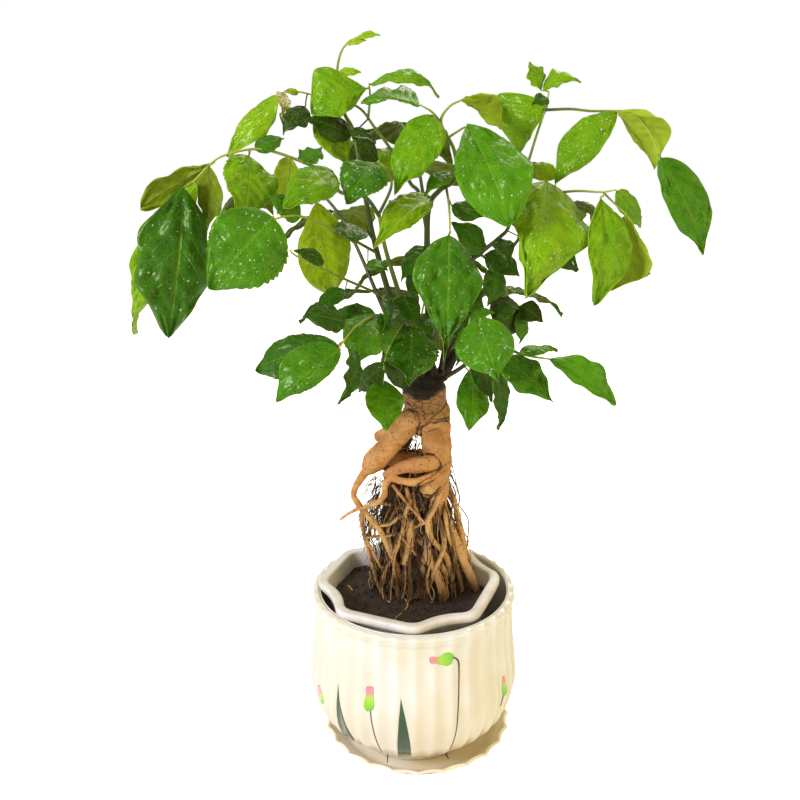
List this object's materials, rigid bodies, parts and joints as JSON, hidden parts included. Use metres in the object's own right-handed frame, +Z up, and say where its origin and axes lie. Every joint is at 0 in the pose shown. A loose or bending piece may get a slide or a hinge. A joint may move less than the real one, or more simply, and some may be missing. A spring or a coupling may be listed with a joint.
{
  "type": "potted china doll plant",
  "caption": "Small indoor tree with glossy compound leaves, a forked trunk on raised roots, in a plastic liner inside a fluted glazed pot with a scalloped saucer.",
  "frame": {"origin": "on the flat underside of the saucer, on the upright axis of the pot", "axes": "+Z up along the axis of the pot, -Y towards the side that the picture shows, +X to the picture's right"},
  "size_m": [0.3822, 0.3073, 0.518],
  "materials": {
    "pot_glaze": "gloss",
    "saucer_glaze": "gloss",
    "liner_plastic": "satin",
    "soil": "matte",
    "bark": "matte",
    "foliage": "satin"
  },
  "bodies": {
    "root": {"pot": "pot_glaze", "saucer": "saucer_glaze", "liner": "liner_plastic", "soil": "soil", "trunk_and_roots": "bark", "leafy_stem_left": "foliage", "leafy_stem_upper_left": "foliage", "leafy_stem_top": "foliage", "leafy_stem_middle": "foliage", "leafy_stem_right": "foliage", "leafy_stem_low_right": "foliage", "leafy_stem_back_left": "foliage", "leafy_stem_back_middle": "foliage", "leafy_stem_back_right": "foliage", "leafy_stem_back_low": "foliage"}
  },
  "joints": []
}
